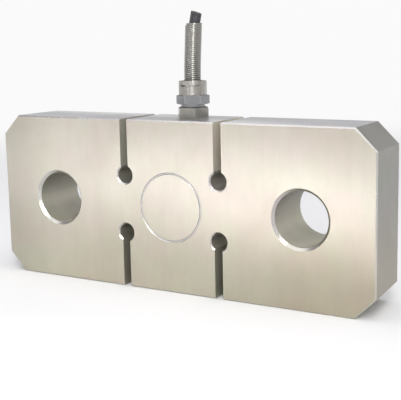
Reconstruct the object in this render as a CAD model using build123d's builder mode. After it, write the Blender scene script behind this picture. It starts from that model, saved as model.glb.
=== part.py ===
from build123d import *
from math import cos, pi, radians, sin, sqrt, tan
import os

# Tension load cell: a slotted steel plate that hangs between two shackles.
# X runs along the plate, Y through its thickness with the front at -Y, and Z up.
# The origin is the middle of the long edge that the plate stands on.

# Plate
length = 245.0
height = 100.0
thickness = 38.0
corner_cut = 11.8
edge_bevel = 0.8

# Shackle bores
bore_diameter = 31.0
bore_spacing = 161.0
bore_bevel = 1.5

# Slots, each with a round relief at its inner end
slot_width = 5.0
slot_spacing = 62.2
relief_diameter = 10.0
relief_spacing = 34.2
relief_bevel = 0.8

# Gauge pockets and the web between them
web_thickness = 8.0
pocket_radius = 17.0
ledge_width = 2.6
cover_thickness = 3.0
cover_play = 0.1
cover_bevel = 0.35
seat_bevel = 0.8
spigot_depth = 1.5
seal_thickness = 0.5

# Wire hole through the web
crossing_offset = 11.5
crossing_radius = 1.5
sleeve_wall = 0.3
sleeve_play = 0.05
sleeve_overhang = 0.6

# Cable
jacket_radius = 3.2
jacket_wall = 0.6
shield_wall = 0.25
core_radius = 0.65
conductor_radius = 0.3
core_pitch = 1.9
duct_play = 0.5
duct_overrun = 1.5
jacket_overhang = 3.0

# Gland, measured upwards from the plate's top edge
gland_offset = 9.0
thread_radius = 6.0
thread_play = 0.05
thread_depth = 9.0
thread_runout = 1.0
thread_lead = 0.5
hex_flats = 17.0
turning_margin = 0.5
adaptor_height = 6.2
adaptor_crown = 7.4
adaptor_slope = 24.0
adaptor_turn = 6.5
neck_height = 1.3
neck_radius = 7.0
body_hex_height = 5.6
body_crown = 8.3
body_slope = 15.0
body_turn = 29.4
nut_height = 8.3
nut_flats = 15.1
nut_crown = 0.3
nut_radius = 8.3
nut_turn = 37.4
nut_collar = 2.2
nut_runout = 1.4
nut_lip = 1.0
nut_bevel = 0.35
o_ring_radius = 7.0
o_ring_width = 1.4
o_ring_height = 1.2
o_ring_round = 0.5
insert_height = 8.0
insert_wall = 1.6
insert_bevel = 0.4
seal_play = 0.05
slip_ring_thickness = 0.8
squeeze = 0.4

# Spring over the cable
wire_radius = 0.575
spring_radius = 5.0
spring_pitch = 1.18
spring_turns = 30.5
spring_play = 0.15
flare = 0.775
foot_turns = 0.7
flare_turns = 0.5
grip_turns = 1.2
grip_shift = 0.65
spring_lean = 3.3
lean_length = 14.0
end_angle = 20.0

# Cable's cut end above the spring
cable_bend = 40.0
cable_lean = 12.0
bend_height = 50.5
cut_height = 60.8
cut_slope = 20.0

# Strain gauges
gauge_length = 8.0
gauge_width = 5.6
gauge_spacing = 9.4
carrier_thickness = 0.15
carrier_round = 0.5
foil_thickness = 0.05
grid_length = 4.0
grid_lines = 8
grid_pitch = 0.4
tab_size = 1.1
tab_inset = 0.6

# Terminal strip, bridge board and wiring in the pockets
strip_drop = 9.5
strip_length = 18.0
strip_height = 3.0
strip_thickness = 0.5
board_drop = 9.5
board_length = 18.0
board_height = 7.0
board_thickness = 1.0
board_round = 0.5
tape_thickness = 0.8
tape_inset = 0.5
pad_count = 4
pad_pitch = 4.4
pad_size = 1.4
pad_round = 0.2
pad_thickness = 0.1
chip_length = 2.4
chip_width = 1.3
chip_thickness = 0.6
lead_radius = 0.15
lead_hop = 1.2
lead_bend = 0.5
ledge_bend = 0.45
lead_shift = 0.5
link_radius = 0.25
link_pitch = 0.62
link_rise = 0.68
link_hop = 1.0
link_bend = 0.6
core_shift = 0.35
core_fan = 16.0
core_strip = 0.9
core_bend = 5.0
solder_bend = 1.0

os.makedirs("parts", exist_ok=True)
tolerance = 0.001

half = thickness / 2
middle = height / 2
front = Plane(origin=(0, -half, middle), x_dir=(1, 0, 0), z_dir=(0, -1, 0))
rear = Plane(origin=(0, half, middle), x_dir=(-1, 0, 0), z_dir=(0, 1, 0))
web_front = Plane(origin=(0, -web_thickness / 2, middle), x_dir=(1, 0, 0), z_dir=(0, -1, 0))
web_rear = Plane(origin=(0, web_thickness / 2, middle), x_dir=(-1, 0, 0), z_dir=(0, 1, 0))
gland = Plane(origin=(0, gland_offset, height))
section = Plane(origin=(0, gland_offset, height), x_dir=(1, 0, 0), z_dir=(0, -1, 0))
gland_axis = Axis((0, gland_offset, height), (0, 0, 1))

seat_radius = pocket_radius + ledge_width
cover_radius = seat_radius - cover_play
pocket_depth = half - web_thickness / 2
thread_hole = thread_radius + thread_play
cable_hole = jacket_radius + duct_play
reach = hex_flats / sqrt(3) + turning_margin

# Plate: one solid, with its slots, bores, pockets and cable way cut from it
with BuildPart() as body:
    with BuildSketch(Plane.XZ) as outline:
        with Locations((0, middle)):
            Rectangle(length, height)
        chamfer(outline.vertices(), length=corner_cut)
    extrude(amount=half, both=True)
    chamfer(body.faces().filter_by(Axis.Y).edges(), length=edge_bevel)

    # Slots run in from the top and bottom edges to the round reliefs
    with BuildSketch(Plane.XZ):
        with Locations((0, middle)):
            with GridLocations(slot_spacing, height + relief_spacing, 2, 2):
                Rectangle(slot_width, height)
    extrude(amount=thickness, both=True, mode=Mode.SUBTRACT)

    relief_radius = relief_diameter / 2
    bore_radius = bore_diameter / 2
    for face in (front, rear):
        with Locations(face):
            with GridLocations(slot_spacing, relief_spacing, 2, 2):
                CounterSinkHole(relief_radius, relief_radius + relief_bevel, counter_sink_angle=90)
            with GridLocations(bore_spacing, 0, 2, 1):
                CounterSinkHole(bore_radius, bore_radius + bore_bevel, counter_sink_angle=90)
            CounterBoreHole(pocket_radius, seat_radius, cover_thickness + seal_thickness, pocket_depth)
    rims = body.edges().filter_by(GeomType.CIRCLE)
    seats = rims.filter_by(lambda edge: abs(edge.radius - seat_radius) < tolerance)
    chamfer(seats.group_by(Axis.Y)[0] + seats.group_by(Axis.Y)[-1], length=seat_bevel)

    # Threaded cable entry, and the duct from it down into the rear pocket
    with Locations(gland):
        CounterBoreHole(
            cable_hole, thread_hole, thread_depth + thread_runout, middle - pocket_radius + duct_overrun
        )
    with Locations(web_rear):
        with Locations((-crossing_offset, 0)):
            Hole(crossing_radius, depth=web_thickness)
body.part.label = "body"
export_step(body.part, "parts/body.step")

# Covers: turned discs, flush with the plate's faces, each over a bonded seal ring
for side, face in (("front", front), ("rear", rear)):
    with BuildPart() as cover:
        with BuildSketch(face):
            Circle(cover_radius)
        extrude(amount=-cover_thickness)
        outer = cover.faces().filter_by(Axis.Y).sort_by(Axis.Y)[0 if side == "front" else -1]
        chamfer(outer.edges(), length=cover_bevel)
        with BuildSketch(face.offset(-cover_thickness)):
            Circle(pocket_radius - cover_play)
        extrude(amount=-spigot_depth)
    cover.part.label = f"{side}_cover"
    export_step(cover.part, f"parts/{side}_cover.step")

    with BuildPart() as cover_seal:
        with BuildSketch(face.offset(-cover_thickness)):
            Circle(cover_radius)
            Circle(pocket_radius, mode=Mode.SUBTRACT)
        extrude(amount=-seal_thickness)
    cover_seal.part.label = f"{side}_cover_seal"
    export_step(cover_seal.part, f"parts/{side}_cover_seal.step")

# Entry adaptor: hexagon with a coned crown, threaded into the plate
with BuildPart() as entry_adaptor:
    with BuildSketch(gland):
        RegularPolygon(hex_flats / 2, 6, major_radius=False, rotation=adaptor_turn)
    extrude(amount=adaptor_height)
    with BuildSketch(section):
        with BuildLine():
            Polyline(
                (0, 0),
                (reach, 0),
                (reach, adaptor_height - (reach - adaptor_crown) * tan(radians(adaptor_slope))),
                (adaptor_crown, adaptor_height),
                (0, adaptor_height),
                close=True,
            )
        make_face()
    revolve(axis=gland_axis, mode=Mode.INTERSECT)
    with BuildSketch(gland):
        Circle(thread_radius)
    extrude(amount=-thread_depth)
    chamfer(entry_adaptor.faces().sort_by(Axis.Z)[0].edges(), length=thread_lead)
    with BuildSketch(gland):
        Circle(o_ring_radius + o_ring_width / 2 + thread_play)
        Circle(o_ring_radius - o_ring_width / 2 - thread_play, mode=Mode.SUBTRACT)
    extrude(amount=o_ring_height, mode=Mode.SUBTRACT)
    with Locations(gland.offset(adaptor_height)):
        CounterBoreHole(cable_hole, thread_hole, adaptor_height - thread_runout)
entry_adaptor.part.label = "entry_adaptor"
export_step(entry_adaptor.part, "parts/entry_adaptor.step")

# Ring that seals the adaptor against the plate
with BuildPart() as entry_o_ring:
    with BuildSketch(section) as ring:
        with Locations((o_ring_radius, o_ring_height / 2)):
            Rectangle(o_ring_width, o_ring_height)
        fillet(ring.vertices(), radius=o_ring_round)
    revolve(axis=gland_axis)
entry_o_ring.part.label = "entry_o_ring"
export_step(entry_o_ring.part, "parts/entry_o_ring.step")

# Gland body: hexagon with a thread below for the adaptor and one above for the nut
hex_base = adaptor_height + neck_height
hex_top = hex_base + body_hex_height
nut_top = hex_top + nut_height
lip_base = nut_top - nut_lip
slip_base = lip_base - slip_ring_thickness - 2 * wire_radius - spring_pitch - spring_play
insert_base = slip_base - insert_height
with BuildPart() as gland_body:
    with BuildSketch(gland.offset(hex_base)):
        RegularPolygon(hex_flats / 2, 6, major_radius=False, rotation=body_turn)
    extrude(amount=body_hex_height)
    drop = (reach - body_crown) * tan(radians(body_slope))
    with BuildSketch(section):
        with BuildLine():
            Polyline(
                (0, hex_base),
                (body_crown, hex_base),
                (reach, hex_base + drop),
                (reach, hex_top - drop),
                (body_crown, hex_top),
                (0, hex_top),
                close=True,
            )
        make_face()
    revolve(axis=gland_axis, mode=Mode.INTERSECT)
    with BuildSketch(gland.offset(hex_base)):
        Circle(neck_radius)
    extrude(amount=-neck_height)
    with BuildSketch(gland.offset(adaptor_height)):
        Circle(thread_radius)
    extrude(amount=thread_runout + squeeze - adaptor_height)
    with BuildSketch(gland.offset(hex_top)):
        Circle(thread_radius)
    extrude(amount=slip_base - squeeze - hex_top)
    with Locations(gland.offset(slip_base - squeeze)):
        CounterBoreHole(
            cable_hole, jacket_radius + insert_wall + 2 * seal_play, slip_base - squeeze - insert_base
        )
gland_body.part.label = "gland_body"
export_step(gland_body.part, "parts/gland_body.step")

# Rubber insert that the nut squeezes round the cable
with BuildPart() as sealing_insert:
    with BuildSketch(gland.offset(insert_base)):
        Circle(jacket_radius + insert_wall + seal_play)
        Circle(jacket_radius + seal_play, mode=Mode.SUBTRACT)
    extrude(amount=insert_height)
    rims = sealing_insert.edges().filter_by(GeomType.CIRCLE)
    chamfer(rims.filter_by(lambda edge: edge.radius > jacket_radius + insert_wall / 2), length=insert_bevel)
sealing_insert.part.label = "sealing_insert"
export_step(sealing_insert.part, "parts/sealing_insert.step")

# Plastic ring between the rubber insert and the spring's foot
with BuildPart() as slip_ring:
    with BuildSketch(gland.offset(slip_base)):
        Circle(thread_radius - thread_play)
        Circle(jacket_radius + spring_play, mode=Mode.SUBTRACT)
    extrude(amount=slip_ring_thickness)
slip_ring.part.label = "slip_ring"
export_step(slip_ring.part, "parts/slip_ring.step")

# Dome nut: round bar with six slightly crowned faces up to its collar, where they run out on a cone
runout_base = nut_top - nut_collar - nut_runout
nut_corner = (nut_flats - 2 * nut_crown) / sqrt(3)
corners = [Vector(nut_corner, 0).rotate(Axis.Z, nut_turn + 60 * index) for index in range(7)]
with BuildPart() as dome_nut:
    with BuildSketch(gland.offset(hex_top)):
        with BuildLine():
            for start, end in zip(corners, corners[1:]):
                SagittaArc(start, end, -nut_crown)
        make_face()
        Circle(nut_radius, mode=Mode.INTERSECT)
    extrude(amount=nut_height - nut_collar)
    with BuildSketch(section):
        with BuildLine():
            Polyline(
                (0, runout_base),
                (nut_flats / 2, runout_base),
                (nut_radius, nut_top - nut_collar),
                (nut_radius, nut_top - nut_bevel),
                (nut_radius - nut_bevel, nut_top),
                (0, nut_top),
                close=True,
            )
        make_face()
    revolve(axis=gland_axis)
    with Locations(gland.offset(nut_top)):
        Hole(spring_radius + spring_play, depth=nut_height)
    with Locations(gland.offset(lip_base)):
        Hole(thread_hole, depth=nut_height)
dome_nut.part.label = "dome_nut"
export_step(dome_nut.part, "parts/dome_nut.step")

# Centre line that the spring and the cable share above the nut: it bends over by a few degrees
lean = radians(spring_lean)
lean_radius = lean_length / lean


def centre_line(run):
    """Gives the place and the slope of the leaning line, a given distance along it from the nut's top."""
    angle = lean * min(max(run, 0), lean_length) / lean_length
    arc = Vector(lean_radius * (1 - cos(angle)), 0, lean_radius * sin(angle))
    past = max(run - lean_length, 0) + min(run, 0)
    return Vector(0, gland_offset, height + nut_top) + arc + past * Vector(sin(angle), 0, cos(angle)), angle


# Strain relief spring: close wound, its first turn spread to a foot that the nut's lip holds, and
# its last turn closed in round the cable
grip = spring_radius - 2 * wire_radius - jacket_radius - spring_play
foot_run = slip_base + slip_ring_thickness + wire_radius - nut_top
coil_points = 8
coil = []
for step in range(int(spring_turns * coil_points) + 1):
    turn = step / coil_points
    centre, angle = centre_line(foot_run + spring_pitch * turn)
    spread = flare * min(max((foot_turns + flare_turns - turn) / flare_turns, 0), 1)
    closing = max(1 - (spring_turns - turn) / grip_turns, 0)
    radius = spring_radius - wire_radius + spread - grip * closing
    bearing = 2 * pi * (turn - spring_turns) + radians(end_angle)
    outward = Vector(cos(angle) * cos(bearing), sin(bearing), -sin(angle) * cos(bearing))
    coil.append(centre + radius * outward + closing * Vector(grip_shift, 0, 0))
with BuildPart() as strain_relief_spring:
    with BuildLine() as wire_path:
        Spline(*coil)
    with BuildSketch(Plane(origin=wire_path.line @ 0, z_dir=wire_path.line % 0)):
        Circle(wire_radius)
    sweep(path=wire_path.line, is_frenet=True)
strain_relief_spring.part.label = "strain_relief_spring"
export_step(strain_relief_spring.part, "parts/strain_relief_spring.step")

# Cable: straight up the duct and gland, over with the spring, and a little more above it
jacket_base = middle + pocket_radius - jacket_overhang
first_corner = height + nut_top + lean_radius * tan(lean / 2)
second_corner = height + bend_height
tail_height = height + cut_height + 2 * jacket_radius
second_shift = (second_corner - first_corner) * tan(lean)
tail_shift = second_shift + (tail_height - second_corner) * tan(radians(cable_lean))
cut_origin = (
    second_shift + (height + cut_height - second_corner) * tan(radians(cable_lean)),
    gland_offset,
    height + cut_height,
)
cut_plane = Plane(origin=cut_origin, z_dir=(sin(radians(cut_slope)), 0, cos(radians(cut_slope))))


def upper_route(x, y):
    """Gives the corners of a line that lies a given distance beside the cable's centre."""
    return [
        (x, gland_offset + y, first_corner),
        (x + second_shift, gland_offset + y, second_corner),
        (x + tail_shift, gland_offset + y, tail_height),
    ]


for name, outer_radius, wall in (
    ("cable_jacket", jacket_radius, jacket_wall),
    ("cable_shield", jacket_radius - jacket_wall, shield_wall),
):
    with BuildPart() as tube:
        with BuildLine() as cable_path:
            cable_foot = (0, gland_offset, jacket_base)
            FilletPolyline(cable_foot, *upper_route(0, 0), radius=[lean_radius, cable_bend])
        with BuildSketch(Plane(origin=(0, gland_offset, jacket_base))):
            Circle(outer_radius)
            Circle(outer_radius - wall, mode=Mode.SUBTRACT)
        sweep(path=cable_path.line)
        split(bisect_by=cut_plane, keep=Keep.BOTTOM)
    tube.part.label = name
    export_step(tube.part, f"parts/{name}.step")

# Bridge board in the rear pocket, on foam tape, with a row of pads and trimming resistors
board_plane = web_rear.offset(tape_thickness)
pad_row = board_height / 2 - pad_size
with BuildPart() as board_tape:
    with BuildSketch(web_rear):
        with Locations((0, -board_drop)):
            RectangleRounded(board_length - 2 * tape_inset, board_height - 2 * tape_inset, board_round)
    extrude(amount=tape_thickness)
board_tape.part.label = "board_tape"
export_step(board_tape.part, "parts/board_tape.step")

with BuildPart() as bridge_board:
    with BuildSketch(board_plane):
        with Locations((0, -board_drop)):
            RectangleRounded(board_length, board_height, board_round)
    extrude(amount=board_thickness)
    with BuildSketch(board_plane.offset(board_thickness)):
        with Locations((0, -board_drop)):
            with GridLocations(pad_pitch, 2 * pad_row, pad_count, 2):
                RectangleRounded(pad_size, pad_size, pad_round)
    extrude(amount=pad_thickness)
bridge_board.part.label = "bridge_board"
export_step(bridge_board.part, "parts/bridge_board.step")

with BuildPart() as trim_resistors:
    with BuildSketch(board_plane.offset(board_thickness)):
        with Locations((0, -board_drop)):
            with GridLocations(pad_pitch, 0, pad_count - 1, 1):
                Rectangle(chip_length, chip_width)
    extrude(amount=chip_thickness)
trim_resistors.part.label = "trim_resistors"
export_step(trim_resistors.part, "parts/trim_resistors.step")

# Terminal strip bonded below the gauges in the front pocket
with BuildPart() as terminal_strip:
    with BuildSketch(web_front):
        with Locations((0, -strip_drop)):
            RectangleRounded(strip_length, strip_height, board_round)
    extrude(amount=strip_thickness)
    with BuildSketch(web_front.offset(strip_thickness)):
        with Locations((0, -strip_drop)):
            with GridLocations(pad_pitch, 0, pad_count, 1):
                RectangleRounded(pad_size, pad_size, pad_round)
    extrude(amount=pad_thickness)
terminal_strip.part.label = "terminal_strip"
export_step(terminal_strip.part, "parts/terminal_strip.step")


line_width = grid_pitch / 2
grid_width = (grid_lines - 1) * grid_pitch
tab_place = (gauge_length - tab_size) / 2 - tab_inset
tab_spacing = grid_width + line_width - tab_size


def strain_gauge(place):
    """Makes a foil gauge on a plane whose X runs along the grid."""
    with BuildPart() as gauge:
        with BuildSketch(place):
            RectangleRounded(gauge_length, gauge_width, carrier_round)
        extrude(amount=carrier_thickness)
        with BuildSketch(place.offset(carrier_thickness)):
            with Locations((-tab_size / 2, 0)):
                with GridLocations(0, grid_pitch, 1, grid_lines):
                    Rectangle(grid_length, line_width)
                with Locations((grid_length / 2, 0)):
                    with GridLocations(0, 2 * grid_pitch, 1, grid_lines // 2 - 1):
                        Rectangle(line_width, grid_pitch + line_width)
                with Locations((-grid_length / 2, 0)):
                    with GridLocations(0, 2 * grid_pitch, 1, grid_lines // 2):
                        Rectangle(line_width, grid_pitch + line_width)
            with Locations((tab_place, 0)):
                with GridLocations(0, tab_spacing, 1, 2):
                    Rectangle(tab_size, tab_size)
            with Locations((tab_place / 2, 0)):
                with GridLocations(0, grid_width, 1, 2):
                    Rectangle(tab_place, line_width)
        extrude(amount=foil_thickness)
    return gauge


# Four foil gauges: one along the load and one across it on each face of the web
tabs = {}
for side, web_face in (("front", web_front), ("rear", web_rear)):
    tabs[side] = []
    for kind, offset, turn in (("axial", -gauge_spacing / 2, 0), ("cross", gauge_spacing / 2, -90)):
        place = Plane(web_face.location * Location((offset, 0, 0), (0, 0, turn)))
        gauge = strain_gauge(place)
        gauge.part.label = f"{side}_{kind}_gauge"
        export_step(gauge.part, f"parts/{side}_{kind}_gauge.step")
        first = tab_spacing / 2 if kind == "axial" else -tab_spacing / 2
        for across in (first, -first):
            tab = (tab_place, across, carrier_thickness + foil_thickness)
            tabs[side].append(place.from_local_coords(tab))

# Pads that the wires run to, counted from the left as seen from the front
strip_top = web_thickness / 2 + strip_thickness + pad_thickness
board_top = web_thickness / 2 + tape_thickness + board_thickness + pad_thickness
pad_places = [(index - (pad_count - 1) / 2) * pad_pitch for index in range(pad_count)]


def wire(radius, bend, *points):
    """Adds a round wire along a bent line to the part that is being built."""
    with BuildLine() as run:
        FilletPolyline(*points, radius=bend)
    with BuildSketch(Plane(origin=run.line @ 0, z_dir=run.line % 0)) as round_end:
        Circle(radius)
    sweep(round_end.sketch, path=run.line)


# Fine leads from the gauges' tabs: the front ones hop to the strip's pads
with BuildPart() as front_gauge_leads:
    for tab, x in zip(tabs["front"], pad_places):
        land = (x - lead_shift, -strip_top, middle - strip_drop)
        crest = -strip_top - lead_hop
        wire(lead_radius, lead_bend, tab, (tab.X, crest, tab.Z), (land[0], crest, land[2]), land)
front_gauge_leads.part.label = "front_gauge_leads"
export_step(front_gauge_leads.part, "parts/front_gauge_leads.step")

# The rear ones pass under the cores, climb the board's edge and lie on its upper pads
board_edge = middle - board_drop + board_height / 2
with BuildPart() as rear_gauge_leads:
    for tab, x in zip(tabs["rear"], reversed(pad_places)):
        crest = tab.Y + lead_bend + lead_radius
        ledge = board_edge + 2 * lead_radius
        rest = board_top + lead_radius
        wire(
            lead_radius,
            ledge_bend,
            tab,
            (tab.X, crest, tab.Z),
            (x + lead_shift, crest, ledge),
            (x + lead_shift, rest, ledge),
            (x + lead_shift, rest, middle - board_drop + pad_row - lead_radius),
        )
rear_gauge_leads.part.label = "rear_gauge_leads"
export_step(rear_gauge_leads.part, "parts/rear_gauge_leads.step")

# Link wires from the front strip through the web to the bridge board, in a sleeve at the web
with BuildPart() as crossing_sleeve:
    with BuildSketch(web_rear.offset(sleeve_overhang)):
        with Locations((-crossing_offset, 0)):
            Circle(crossing_radius - sleeve_play)
            Circle(crossing_radius - sleeve_play - sleeve_wall, mode=Mode.SUBTRACT)
    extrude(amount=-web_thickness - 2 * sleeve_overhang)
crossing_sleeve.part.label = "crossing_sleeve"
export_step(crossing_sleeve.part, "parts/crossing_sleeve.step")

with BuildPart() as link_wires:
    for index, x in enumerate(reversed(pad_places)):
        aside = crossing_offset + link_pitch * (index % 2 - 0.5)
        aloft = middle + link_pitch * (index // 2 - 0.5)
        level = link_hop + link_rise * index
        front_level = -strip_top - level
        rear_level = board_top + level
        strip_row = middle - strip_drop - (pad_size / 2 - link_radius)
        board_row = middle - board_drop - pad_row
        wire(
            link_radius,
            link_bend,
            (x + core_shift, -strip_top, strip_row),
            (x + core_shift, front_level, strip_row),
            (aside, front_level, aloft),
            (aside, rear_level, aloft),
            (aside, rear_level, board_row),
            (x, rear_level, board_row),
            (x, board_top, board_row),
        )
link_wires.part.label = "link_wires"
export_step(link_wires.part, "parts/link_wires.step")

# Four cores: out of the jacket in the rear pocket, fanned to the board's upper pads
bare_height = board_edge + core_strip
solder_level = board_top + conductor_radius
core_routes = []
for x, shift_x, shift_y in zip(pad_places, (-1, -1, 1, 1), (-1, 1, 1, -1)):
    beside = (shift_x * core_pitch / 2, shift_y * core_pitch / 2)
    land = middle - board_drop + pad_row
    with BuildLine() as core_route:
        FilletPolyline(
            (x - core_shift, solder_level, land - pad_size / 2 + conductor_radius),
            (x - core_shift, solder_level, bare_height - core_strip / 2),
            (beside[0], gland_offset + beside[1], bare_height + core_fan),
            *upper_route(*beside),
            radius=[solder_bend, core_bend, lean_radius, cable_bend],
        )
    core_routes.append(core_route.line)

strip_plane = Plane(origin=(0, 0, bare_height))
for colour, route in zip(("red", "black", "green", "white"), core_routes):
    with BuildPart() as core:
        with BuildSketch(Plane(origin=route @ 0, z_dir=route % 0)):
            Circle(core_radius)
            Circle(conductor_radius, mode=Mode.SUBTRACT)
        sweep(path=route)
        split(bisect_by=strip_plane, keep=Keep.TOP)
        split(bisect_by=cut_plane, keep=Keep.BOTTOM)
    core.part.label = f"core_{colour}"
    export_step(core.part, f"parts/core_{colour}.step")

with BuildPart() as core_conductors:
    for route in core_routes:
        with BuildSketch(Plane(origin=route @ 0, z_dir=route % 0)):
            Circle(conductor_radius)
        sweep(path=route)
    split(bisect_by=cut_plane, keep=Keep.BOTTOM)
core_conductors.part.label = "core_conductors"
export_step(core_conductors.part, "parts/core_conductors.step")
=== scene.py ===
import bpy
import math
from mathutils import Matrix, Vector


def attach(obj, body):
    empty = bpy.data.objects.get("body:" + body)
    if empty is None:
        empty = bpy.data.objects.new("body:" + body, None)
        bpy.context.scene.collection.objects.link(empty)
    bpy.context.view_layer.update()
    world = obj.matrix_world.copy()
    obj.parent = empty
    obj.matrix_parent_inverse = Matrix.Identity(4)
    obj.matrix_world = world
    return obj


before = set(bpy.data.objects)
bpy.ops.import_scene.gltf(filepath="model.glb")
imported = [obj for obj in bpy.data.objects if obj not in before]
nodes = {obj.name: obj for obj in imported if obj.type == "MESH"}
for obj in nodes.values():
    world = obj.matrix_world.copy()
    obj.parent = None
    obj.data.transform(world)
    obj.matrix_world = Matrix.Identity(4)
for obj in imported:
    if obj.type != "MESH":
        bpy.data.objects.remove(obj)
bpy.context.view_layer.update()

scene = bpy.context.scene
scene.view_settings.view_transform = "Standard"
bpy.ops.object.select_all(action="DESELECT")

# Camera: a little above the plate's top edge and to its right, looking along the front face.
# The optical axis lies off the picture's middle, so the lens is shifted as the picture was cropped.
picture_width, picture_height = 401, 400
camera_place = Vector((0.24313, -0.39955, 0.14126))
camera_yaw, camera_pitch, camera_roll = 0.46911, 0.14049, -0.012065
focal_pixels, film_width = 800.858, 36.0
axis_x, axis_y = 248.119, 158.966
nearest_seen, farthest_seen = 0.01, 50

forward = Vector((
    -math.sin(camera_yaw) * math.cos(camera_pitch),
    math.cos(camera_yaw) * math.cos(camera_pitch),
    -math.sin(camera_pitch),
))
level_right = Vector((math.cos(camera_yaw), math.sin(camera_yaw), 0))
level_up = level_right.cross(forward)
right = math.cos(camera_roll) * level_right + math.sin(camera_roll) * level_up
up = math.cos(camera_roll) * level_up - math.sin(camera_roll) * level_right
camera_data = bpy.data.cameras.new("camera")
camera_data.sensor_width = film_width
camera_data.lens = focal_pixels * film_width / picture_width
camera_data.shift_x = (picture_width / 2 - axis_x) / picture_width
camera_data.shift_y = (axis_y - picture_height / 2) / picture_width
camera_data.clip_start, camera_data.clip_end = nearest_seen, farthest_seen
camera = bpy.data.objects.new("camera", camera_data)
camera.matrix_world = Matrix((
    (right.x, up.x, -forward.x, camera_place.x),
    (right.y, up.y, -forward.y, camera_place.y),
    (right.z, up.z, -forward.z, camera_place.z),
    (0, 0, 0, 1),
))
scene.collection.objects.link(camera)
scene.camera = camera


# Studio: white paper floor that runs out into a white surround, with a dimmer room above it.
# Soft lamps: a tall one at the front right, one overhead, and a strip that lights the paper in front.
def node_maker(tree):
    """Empties a node tree and gives a function that adds a node, sets it and joins it up."""
    tree.nodes.clear()

    def add(kind, inputs=(), **settings):
        node = tree.nodes.new(kind)
        for key, value in settings.items():
            setattr(node, key, value)
        for key, value in dict(inputs).items():
            if isinstance(value, bpy.types.NodeSocket):
                tree.links.new(value, node.inputs[key])
            else:
                node.inputs[key].default_value = value
        return node

    return add


paper_white, near_white = 0.955, 0.87
paper = (paper_white, paper_white, paper_white, 1)
near_paper = (near_white, near_white, near_white, 1)
floor_radius, floor_corners, fade_start, fade_end = 12.0, 96, 0.3, 1.1
floor_paint = bpy.data.materials.new("paper_floor")
floor_paint.use_nodes = True
add = node_maker(floor_paint.node_tree)
distance = add("ShaderNodeVectorMath", {0: add("ShaderNodeTexCoord").outputs["Object"]}, operation="LENGTH")
fade = add(
    "ShaderNodeMapRange",
    {"Value": distance.outputs["Value"], "From Min": fade_start, "From Max": fade_end},
    interpolation_type="SMOOTHSTEP",
)
matt = add("ShaderNodeBsdfDiffuse", {"Color": near_paper})
far_paper = add("ShaderNodeEmission", {"Color": paper})
both = add("ShaderNodeMixShader", {0: fade.outputs["Result"], 1: matt.outputs[0], 2: far_paper.outputs[0]})
add("ShaderNodeOutputMaterial", {"Surface": both.outputs[0]})

bpy.ops.mesh.primitive_circle_add(vertices=floor_corners, radius=floor_radius, fill_type="NGON")
floor = bpy.context.object
floor.name = "floor"
floor.data.materials.append(floor_paint)

paper_top, room_start, dim_room = 0.28, 0.5, (0.42, 0.42, 0.45, 1)
world = bpy.data.worlds.new("studio")
world.use_nodes = True
scene.world = world
add = node_maker(world.node_tree)
upward = add("ShaderNodeSeparateXYZ", {0: add("ShaderNodeTexCoord").outputs["Generated"]})
room = add("ShaderNodeValToRGB", {"Fac": upward.outputs["Z"]})
for stop, position, room_colour in zip(room.color_ramp.elements, (paper_top, room_start), (paper, dim_room)):
    stop.position = position
    stop.color = room_colour
surround = add("ShaderNodeBackground", {"Color": room.outputs["Color"], "Strength": 1.0})
add("ShaderNodeOutputWorld", {"Surface": surround.outputs[0]})

strip_turn, strip_spread = math.radians(26), math.radians(80)
for name, place, aim, width, depth, watts, tint in (
    ("tall_softbox", (0.55, -0.88, 0.82), (0, 0, 0.12), 0.28, 0.85, 8.5, (1.0, 0.99, 0.98)),
    ("overhead_softbox", (0.0, -0.2, 1.4), (0, 0, 0.05), 2.0, 1.1, 9.3, (0.98, 0.985, 1.0)),
    ("paper_strip", (-0.20, -0.40, 0.25), (-0.20, -0.40, 0.0), 0.66, 0.08, 1.0, (1.0, 0.985, 1.0)),
):
    lamp_data = bpy.data.lights.new(name, "AREA")
    lamp_data.shape = "RECTANGLE"
    lamp_data.size, lamp_data.size_y = width, depth
    lamp_data.energy = watts
    lamp_data.color = tint
    lamp = bpy.data.objects.new(name, lamp_data)
    lamp.location = place
    lamp.rotation_mode = "QUATERNION"
    lamp.rotation_quaternion = (Vector(aim) - Vector(place)).to_track_quat("-Z", "Y")
    lamp.visible_camera = False
    scene.collection.objects.link(lamp)
    if name == "paper_strip":
        lamp.rotation_mode = "XYZ"
        lamp.rotation_euler = (0, 0, strip_turn)
        lamp_data.spread = strip_spread


# Plate: one block of alloy steel. Its two faces are surface ground along the height, its edges are
# milled along their length, its bores and reliefs are bored, and all of it is nickel plated.
def new_group(name, inputs, outputs):
    """Starts a shader group with named sockets and gives it, its node adder and its input node."""
    group = bpy.data.node_groups.new(name, "ShaderNodeTree")
    for socket, kind, value in inputs:
        made = group.interface.new_socket(socket, in_out="INPUT", socket_type=kind)
        if value is not None:
            made.default_value = value
    for socket, kind in outputs:
        group.interface.new_socket(socket, in_out="OUTPUT", socket_type=kind)
    add = node_maker(group)
    return group, add, add("NodeGroupInput").outputs


def calculator(add):
    """Gives shorthands for one math step and for a smooth rise from 0 to 1."""

    def calc(operation, *values):
        return add("ShaderNodeMath", enumerate(values), operation=operation).outputs[0]

    def rise(value, start, end):
        inputs = {"Value": value, "From Min": start, "From Max": end}
        return add("ShaderNodeMapRange", inputs, interpolation_type="SMOOTHSTEP").outputs["Result"]

    return calc, rise


def outside(calc, mask):
    """Gives a mask's opposite."""
    return calc("SUBTRACT", 1.0, mask)


def layered(calc, value, *layers):
    """Adds masks to a value, each times its own share."""
    for mask, share in layers:
        value = calc("ADD", value, calc("MULTIPLY", mask, share))
    return value


def shaded(calc, tone, *shades):
    """Brightens or darkens a tone where each mask is, by its own share."""
    for mask, share in shades:
        tone = calc("MULTIPLY", tone, calc("ADD", 1.0, calc("MULTIPLY", mask, share)))
    return tone


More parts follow.
